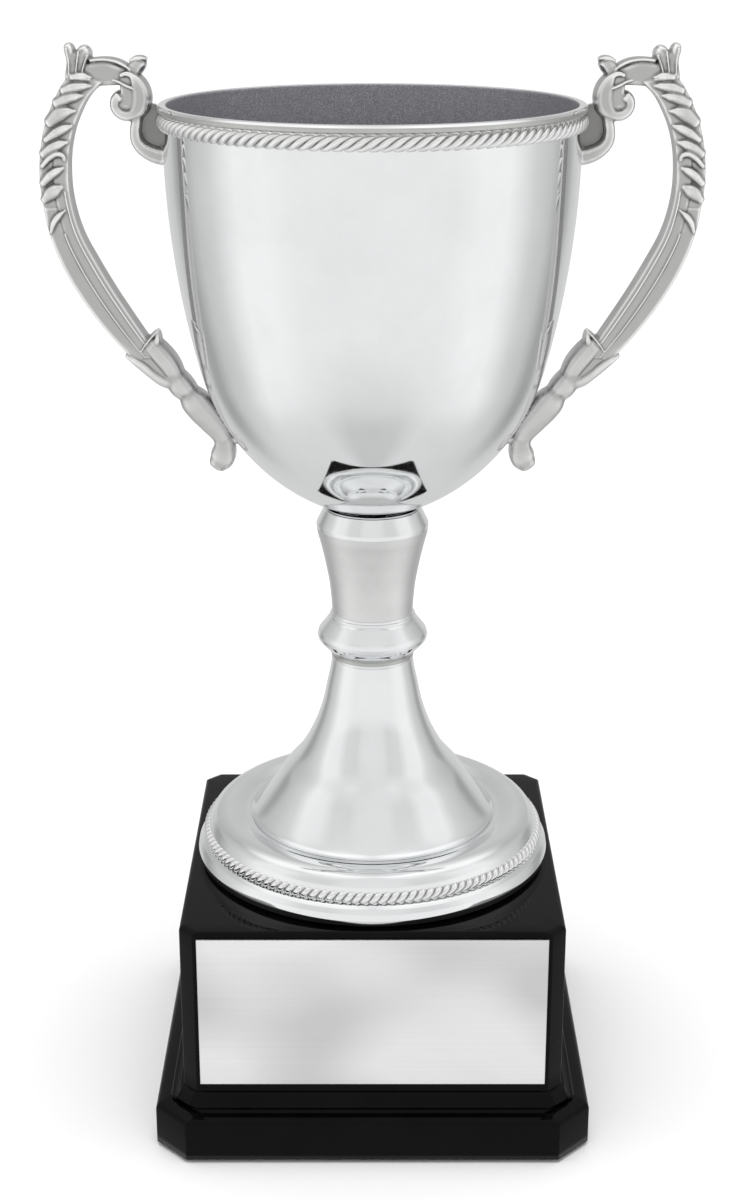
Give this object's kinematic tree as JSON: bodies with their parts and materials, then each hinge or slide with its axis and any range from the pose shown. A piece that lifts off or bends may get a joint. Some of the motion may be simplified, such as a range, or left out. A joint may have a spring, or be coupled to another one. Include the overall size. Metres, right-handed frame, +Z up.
{
  "type": "cup trophy",
  "caption": "Two-handled presentation cup: polished bowl with rope border and scrolled cast handles, on a stem, round foot and black plinth with a blank engraving plate.",
  "frame": {"origin": "centre of the felt's underside, where the trophy rests", "axes": "+Z up, -Y towards the front with the engraving plate, handles along X"},
  "size_m": [0.1552, 0.108, 0.2644],
  "materials": {
    "polished_nickel": "bright polished nickel plate over spun metal",
    "satin_nickel": "satin nickel plate",
    "cast_rope": "nickel-plated casting with dark recesses",
    "cast_pewter": "satin nickel-plated casting",
    "black_gloss": "high-gloss black moulding",
    "brushed_plate": "horizontally brushed, silver",
    "adhesive_pad": "double-sided foam pad",
    "zinc_fasteners": "zinc-plated steel",
    "ballast": "rough cast",
    "hardboard": "pressed fibre board",
    "black_felt": "short felt"
  },
  "bodies": {
    "root": {"base_felt": "black_felt", "base_board": "hardboard", "plinth_shell": "black_gloss", "ballast_weight": "ballast", "base_board_screws": "zinc_fasteners", "plate_adhesive": "adhesive_pad", "engraving_plate": "brushed_plate", "foot_dish": "polished_nickel", "foot_rope_band": "cast_rope", "foot_trumpet": "polished_nickel", "stem_knop": "polished_nickel", "stem_neck": "satin_nickel", "bowl_collar": "polished_nickel", "tie_rod": "zinc_fasteners", "plinth_washer": "zinc_fasteners", "plinth_nut": "zinc_fasteners", "bowl_washer": "zinc_fasteners", "bowl_cap_nut": "zinc_fasteners", "bowl": "polished_nickel", "rim_rope_band": "cast_rope", "left_handle": "cast_pewter", "right_handle": "cast_pewter", "handle_screws": "zinc_fasteners", "handle_washers": "zinc_fasteners"}
  },
  "joints": []
}
